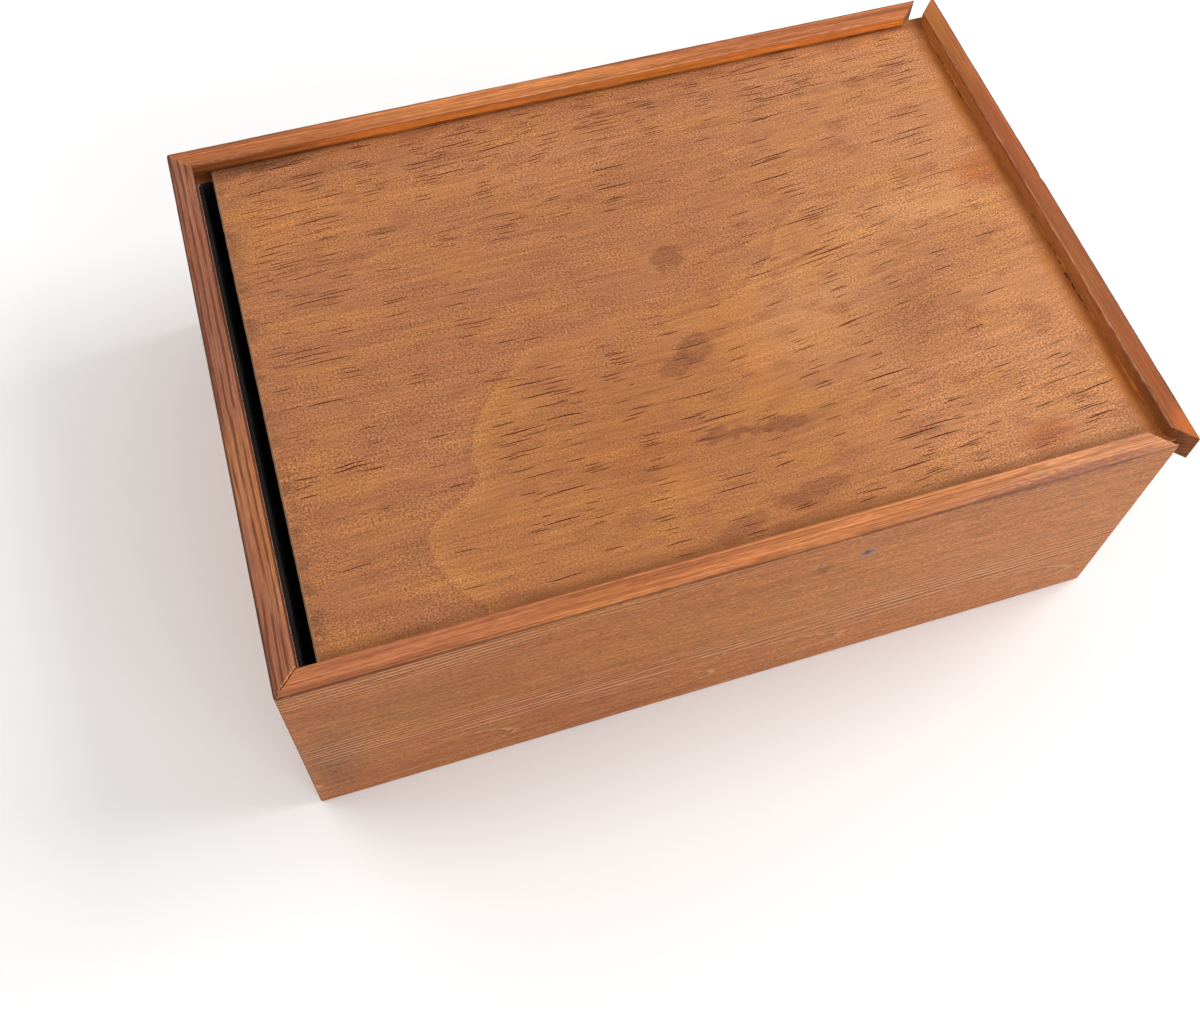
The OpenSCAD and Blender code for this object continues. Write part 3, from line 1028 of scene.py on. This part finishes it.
def long_wall(seed, fine, tips, zone, rub):
    """One of the two long walls. zone says where its grain stands proud, rub how worn its inner
    top edge is."""
    board = Board(LENGTH, grooved_section(fine), 1.35, seed)
    board.rings_up_the_face([0, 24, 34, 44, 60, 106], [0, 4.5, 7.5, 11.5, 19, 41])
    board.nested_arches(tips, 16.0, 42.0)
    board.raise_grain(zone(board.s, board.z))
    board.wear((0, HEIGHT), (0.7, -0.7), 1.3, 0.14)
    board.wear((WALL, HEIGHT), (-0.7, -0.7), 1.0, 0.14, rub)
    board.wear((0, 0), (0.7, 0.7), 1.4, 0.16)
    return board


def end_wall(section, seed, height):
    """One of the two end walls, or the pull rail, before what is special to it."""
    board = Board(WIDTH, section, 1.4, seed)
    board.rings_from_pith(118.0, -30.0, 1.5)
    raised = 0.15 + 0.6 * noise(board.s / 40, board.z / 13, seed=seed + 3)
    board.raise_grain(np.clip(raised, 0, 0.8))
    board.wear((0, height), (0.7, -0.7), 1.3, 0.12)
    board.wear((WALL, height), (-0.7, -0.7), 1.0, 0.12)
    return board


front = long_wall(10, 0.34, [-220, -138, -72, -6, 41.5, 128, 215, 300], front_zone, 0.05)
rear = long_wall(20, 0.5, [-230, -150, -96, -20, 62, 110, 190, 300], rear_zone, 0.4)
left = end_wall(grooved_section(0.8), 30, HEIGHT)
right = end_wall(low_section(0.8), 40, LOW_WALL_TOP)
rail = end_wall(rail_section(0.6), 50, RAIL_TOP)

# The front wall's left mitre has opened, and its right one has lost some fibres
front.open_mitre(-1, 0.27, 100)
left.open_mitre(-1, 0.2, 101)
# Pale painted highlights along the left wall's mitres
left.paint_mitre_highlight(-1, 1.1, 0.55, 104)
left.open_mitre(1, 0.07, 102)
left.paint_mitre_highlight(1, 0.6, 0.2, 105)
rear.open_mitre(1, 0.07, 103)
for step in range(8):
    depth_in = 7.0 - 0.8 * step
    front.chip(139.8 - depth_in, (depth_in, HEIGHT), 0.55, 0.55, 0.35 + 0.2 * (step % 3), (-1, 0, -0.6))
rail.chip(8.9, (0, RAIL_TOP), 0.8, 1.3, 0.8, (0, 0.7, -0.7))
front.roughen(lump((front.s - 100, 34), (front.u - 1.6, 2.2)), 0.18)
front.shaded_rim_reach = 0.46

# Each row is a node, its board, how (s, u) becomes (x, y), the top, the material, body and slot
boards = [
    ("front_wall", front, lambda s, u: (s, u - HALF_Y), HEIGHT, FRONT_PINE, "box", "stained_pine"),
    ("rear_wall", rear, lambda s, u: (-s, HALF_Y - u), HEIGHT, REAR_PINE, "box", "stained_pine"),
    ("left_end_wall", left, lambda s, u: (u - HALF_X, s), HEIGHT, LEFT_PINE, "box", "stained_pine"),
    ("right_end_wall", right, lambda s, u: (HALF_X - u, s), LOW_WALL_TOP, RIGHT_PINE, "box",
     "stained_pine"),
    ("lid_pull_rail", rail, lambda s, u: (HALF_X - u + LID_OPEN, s), RAIL_TOP, RAIL_PINE, "lid",
     "rail_pine"),
]
for node, board, place, top, material, body, slot in boards:
    points = (*place(board.s, board.u), board.z)
    faces = swept_faces(*board.s.shape)
    piece = make_object(node + "_board", points, faces, [material, END_GRAIN], board.fields(top))
    second_material(piece, lambda polygon: polygon.loop_total > 4)
    dress(piece, body, node)

make_lid()
make_glue()

# Each row is a node, half its length, its top, its seed and how (s, in) becomes (x, y)
long_half, short_half = INNER_X - CARD_T, INNER_Y - CARD_T - VELVET_T
velvets = [
    ("front_velvet", long_half, GROOVE_FLOOR, 200, lambda s, d: (s, d - INNER_Y)),
    ("rear_velvet", long_half, GROOVE_FLOOR, 210, lambda s, d: (s, INNER_Y - d)),
    ("left_velvet", short_half, GROOVE_FLOOR, 220, lambda s, d: (d - INNER_X, s)),
    ("right_velvet", short_half, LOW_WALL_TOP, 230, lambda s, d: (INNER_X - d, s)),
]
for row in velvets:
    make_wall_velvet(*row)
make_floor_velvet()

# The cards and the base panel are the CAD's own
cards = [side + "_liner_card" for side in ("front", "rear", "left", "right", "floor")]
for nodes, material in ((cards, pulp_board()), (["base_panel"], base_plywood())):
    for node in nodes:
        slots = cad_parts[node].data.materials
        slots.clear()
        slots.append(material)


# Floor, light and camera

SKY_STRENGTH = 0.52


def seen_directly(nodes, links):
    """1 for the rays that show the backdrop: the camera's, and those off gloss and through glass."""
    path = nodes.new("ShaderNodeLightPath")
    seen = path.outputs["Is Camera Ray"]
    for kind in ("Is Glossy Ray", "Is Transmission Ray"):
        either = nodes.new("ShaderNodeMath")
        either.operation = "MAXIMUM"
        links.new(seen, either.inputs[0])
        links.new(path.outputs[kind], either.inputs[1])
        seen = either.outputs[0]
    return seen


def make_floor():
    """A pale floor that shows white to the camera, keeps the shadow and fades out far away."""
    size, fade_start, fade_end = 4000, 700, 2200
    tree = Tree("pale_floor")
    seen = seen_directly(tree.nodes, tree.links)
    pale = tree.mix(seen, (0.7, 0.7, 0.7, 1), (1.0, 1.0, 1.0, 1))
    tree.join(pale, tree.shader.inputs["Base Color"])
    tree.shader.inputs["Roughness"].default_value = 1.0
    tree.shader.inputs["Specular IOR Level"].default_value = 0.0
    far = tree.between(tree.vector("LENGTH", tree.point), fade_start, fade_end)
    clear = tree.node("BsdfTransparent", {})
    blend = tree.node("MixShader", {0: tree.times(far, seen), 1: tree.shader.outputs[0], 2: clear})
    tree.join(blend, tree.nodes["Material Output"].inputs["Surface"])
    x, y = size * np.array([-1, 1, 1, -1]), size * np.array([-1, -1, 1, 1])
    make_object("floor", (x, y, 0 * x), [(0, 1, 2, 3)], [tree.material])


def make_world():
    """An even pale sky: white to the camera, softer as light."""
    world = bpy.data.worlds.new("sky")
    bpy.context.scene.world = world
    world.use_nodes = True
    nodes, links = world.node_tree.nodes, world.node_tree.links
    background = nodes["Background"]
    background.inputs["Color"].default_value = (1, 1, 1, 1)
    strength = nodes.new("ShaderNodeMapRange")
    strength.inputs["To Min"].default_value = SKY_STRENGTH
    strength.inputs["To Max"].default_value = 1.0
    links.new(seen_directly(nodes, links), strength.inputs["Value"])
    links.new(strength.outputs[0], background.inputs["Strength"])


def make_lamp(name, position, target, size, power):
    """A square soft lamp, aimed at a point. Lengths are in metres."""
    lamp = bpy.data.lights.new(name, "AREA")
    lamp.shape = "SQUARE"
    lamp.size = size
    lamp.energy = power
    stand_in = put(name, lamp)
    stand_in.location = position
    way = Vector(target) - Vector(position)
    stand_in.rotation_euler = way.to_track_quat("-Z", "Y").to_euler()


def make_camera():
    """The photograph's viewpoint, solved from the box's corners and edges."""
    picture_width, picture_height = 1200, 1032
    focal, centre_x, centre_y = 1441.2, 600.0, 345.0
    position = Vector((-106.52, -246.72, 482.97))
    right = Vector((0.95384, -0.29846, 0.03325))
    forward = Vector((0.18832, 0.5082, -0.8404))
    right = (right - forward * right.dot(forward)).normalized()
    forward.normalize()
    up = right.cross(forward)
    data = bpy.data.cameras.new("camera")
    data.sensor_width = 36.0
    data.sensor_fit = "HORIZONTAL"
    data.lens = focal / picture_width * data.sensor_width
    data.shift_x = (picture_width / 2 - centre_x) / picture_width
    data.shift_y = (centre_y - picture_height / 2) / picture_width
    data.clip_start = 0.01
    camera = put("camera", data)
    turned = Matrix((right, up, -forward)).transposed().to_4x4()
    camera.matrix_world = Matrix.Translation(position * MM) @ turned
    bpy.context.scene.camera = camera


make_floor()
make_world()
make_lamp("key", (0.80, -0.05, 0.95), (0.05, 0, 0.05), 0.6, 7.6)
make_lamp("fill", (0.6, -1.5, 0.9), (0, 0, 0.05), 1.2, 7.5)
make_lamp("back", (-0.9, 0.7, 1.1), (0, 0, 0.05), 1.2, 7)
make_camera()
bpy.context.scene.view_settings.view_transform = "Standard"
